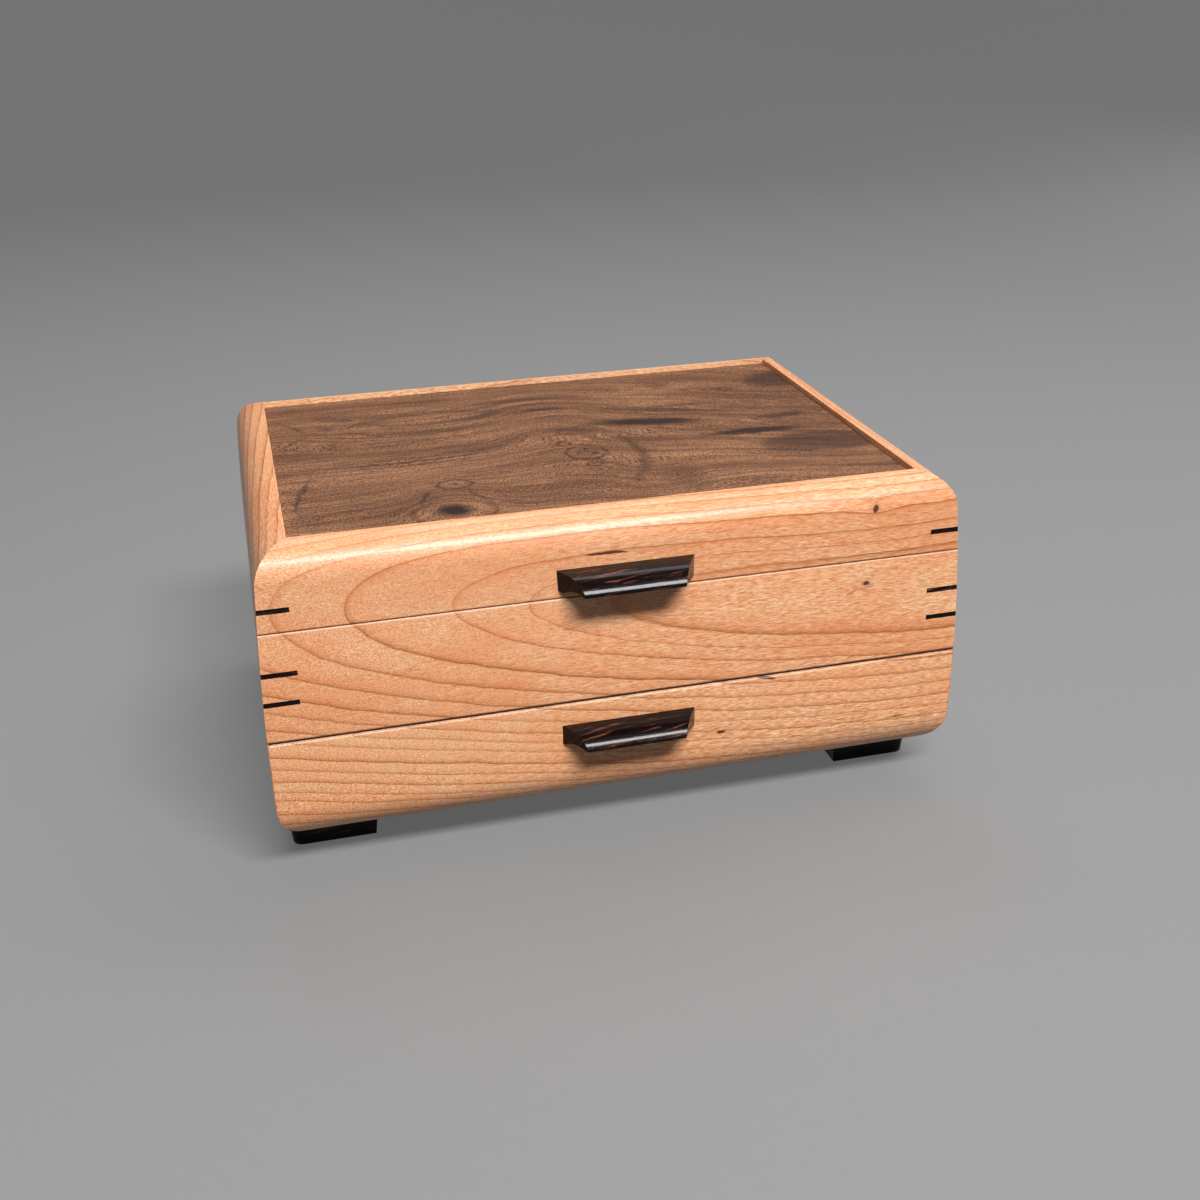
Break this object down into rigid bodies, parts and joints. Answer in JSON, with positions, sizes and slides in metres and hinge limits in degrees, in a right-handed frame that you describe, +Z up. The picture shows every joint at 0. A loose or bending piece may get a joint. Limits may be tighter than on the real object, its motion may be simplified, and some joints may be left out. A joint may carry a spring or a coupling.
{
  "type": "cufflink box with drawer",
  "caption": "Jewellery box for cufflinks with a hinged panelled lid, divided felt-lined compartment, full-width drawer, pulls and block feet; crowned sides and rounded edges.",
  "frame": {"origin": "on the surface under the feet, at the centre of the whole part's outline seen from above", "axes": "+Z up, the drawer and both pulls face -Y, +X to the right of someone facing the front"},
  "size_m": [0.3364, 0.268, 0.1673],
  "materials": {
    "cherry": "oiled cherry, satin",
    "walnut": "oiled walnut, satin",
    "wenge": "polished wenge",
    "maple": "waxed maple",
    "plywood": "sealed birch plywood",
    "felt": "charcoal felt",
    "brass": "machined brass",
    "screw_steel": "zinc-plated steel"
  },
  "bodies": {
    "case": {"case_back": "cherry", "case_bottom": "plywood", "case_front_rail": "cherry", "case_keys_back_left": "wenge", "case_keys_back_right": "wenge", "case_keys_front_left": "wenge", "case_keys_front_right": "wenge", "case_side_left": "cherry", "case_side_right": "cherry", "compartment_floor": "plywood", "compartment_lining": "felt", "divider_cross_1": "walnut", "divider_cross_2": "walnut", "divider_cross_3": "walnut", "divider_cross_4": "walnut", "divider_cross_5": "walnut", "divider_long_1": "walnut", "divider_long_2": "walnut", "divider_long_3": "walnut", "drawer_runner_left": "maple", "drawer_runner_right": "maple", "foot_back_left": "wenge", "foot_back_right": "wenge", "foot_front_left": "wenge", "foot_front_right": "wenge", "foot_screws": "screw_steel", "hinge_leaf_case_left": "brass", "hinge_leaf_case_right": "brass", "hinge_pin_left": "brass", "hinge_pin_right": "brass", "hinge_screws_case": "brass"},
    "lid": {"hinge_leaf_lid_left": "brass", "hinge_leaf_lid_right": "brass", "hinge_screws_lid": "brass", "lid_key_back_left": "wenge", "lid_key_back_right": "wenge", "lid_key_front_left": "wenge", "lid_key_front_right": "wenge", "lid_panel": "walnut", "lid_pull": "wenge", "lid_pull_screws": "screw_steel", "lid_rail_back": "cherry", "lid_rail_front": "cherry", "lid_rail_left": "cherry", "lid_rail_right": "cherry"},
    "drawer": {"drawer_back": "maple", "drawer_bottom": "plywood", "drawer_divider_cross_1": "walnut", "drawer_divider_cross_2": "walnut", "drawer_divider_long": "walnut", "drawer_front": "cherry", "drawer_lining": "felt", "drawer_pull": "wenge", "drawer_pull_screws": "screw_steel", "drawer_side_left": "maple", "drawer_side_right": "maple"}
  },
  "joints": [
    {"name": "lid_hinge", "type": "hinge", "parent": "case", "child": "lid", "pos_m": [0, 0.12943, 0.13], "axis": [-1, 0, 0], "range_deg": [0, 95]},
    {"name": "drawer_slide", "type": "slide", "parent": "case", "child": "drawer", "axis": [0, -1, 0], "range_m": [0, 0.15]}
  ]
}
